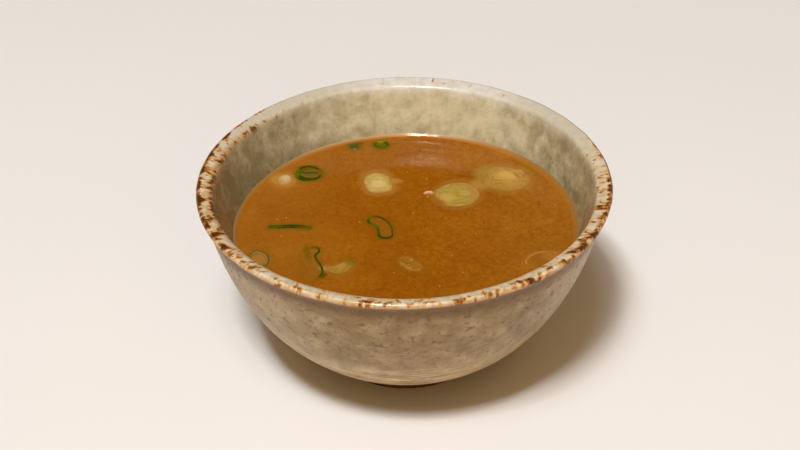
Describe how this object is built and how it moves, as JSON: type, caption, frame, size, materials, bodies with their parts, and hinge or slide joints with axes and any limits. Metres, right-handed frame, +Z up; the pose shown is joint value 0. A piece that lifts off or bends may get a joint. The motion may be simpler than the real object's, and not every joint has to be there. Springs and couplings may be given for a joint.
{
  "type": "miso soup",
  "caption": "Miso soup in a hand-thrown speckled stoneware bowl, with slices of leek and onion and rings of spring onion afloat.",
  "frame": {"origin": "middle of the foot ring, on the surface that the bowl stands on", "axes": "+Z up out of the bowl; +X to the right and +Y away from the viewer, with the leek slices to the right and at the back"},
  "size_m": [0.1258, 0.1258, 0.0616],
  "materials": {
    "glaze": "gloss",
    "broth": "polished",
    "leek": "gloss",
    "onion": "gloss",
    "spring_onion": "gloss"
  },
  "bodies": {
    "root": {"bowl": "glaze", "soup": "broth", "leek_slice_front": "leek", "leek_slice_back": "leek", "onion_slice": "onion", "onion_chip": "onion", "onion_wedge": "onion", "bean_ring": "spring_onion", "dark_ring": "spring_onion", "wavy_ring": "spring_onion", "wall_ring": "spring_onion", "folded_ring": "spring_onion", "bright_ring": "spring_onion", "green_chip": "spring_onion", "clear_ring": "onion", "right_ring": "onion"}
  },
  "joints": []
}
